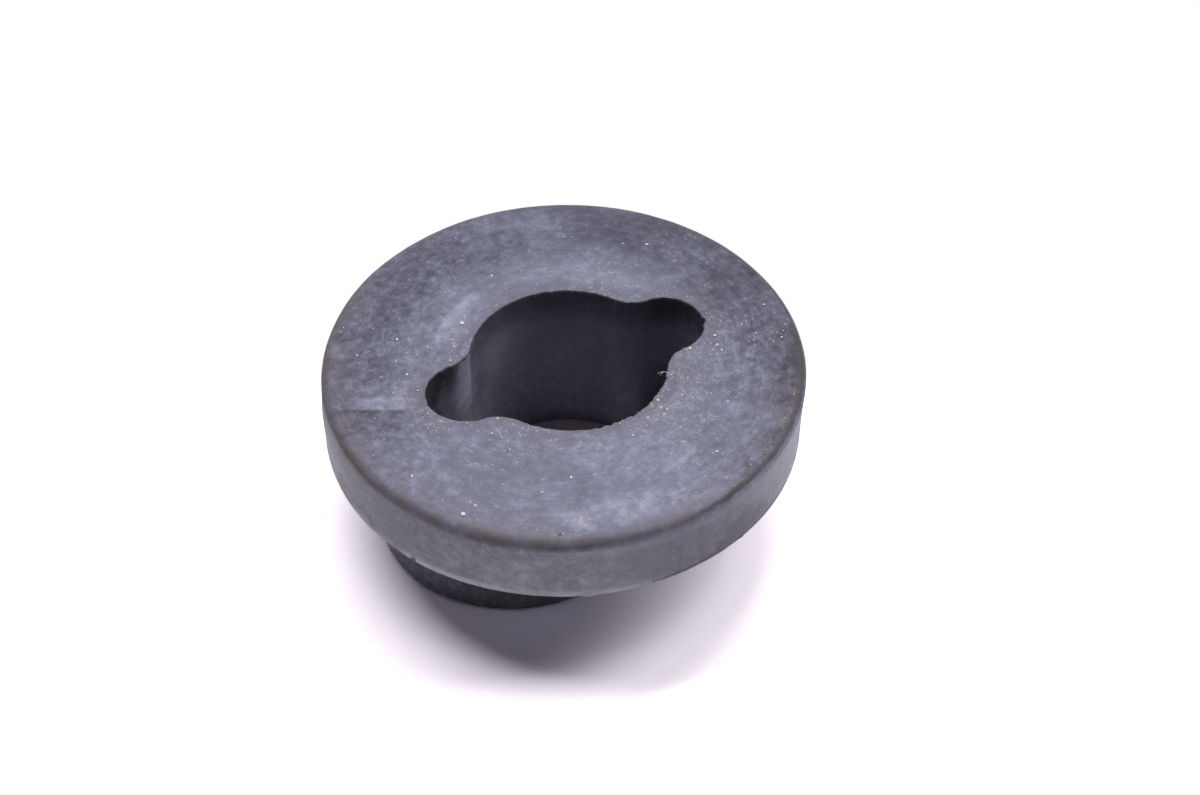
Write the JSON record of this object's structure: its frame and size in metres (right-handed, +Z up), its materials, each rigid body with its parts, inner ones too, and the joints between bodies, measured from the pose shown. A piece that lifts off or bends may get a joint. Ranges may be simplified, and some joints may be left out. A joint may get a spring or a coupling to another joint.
{
  "type": "rubber damper",
  "caption": "Moulded rubber damper: a round flange on an obround neck, with a keyed hole through both that grips a post and lets its side lugs pass.",
  "frame": {"origin": "centre of the hole on the neck's end face, which the damper stands on", "axes": "+Z up along the hole, from the neck to the flange; X along the hole's two ears and the neck's long axis"},
  "size_m": [0.04, 0.04, 0.016],
  "materials": {
    "rubber": "matt aged rubber with a bluish grey bloom, fine scuffs and dust"
  },
  "bodies": {
    "root": {"damper": "rubber"}
  },
  "joints": []
}
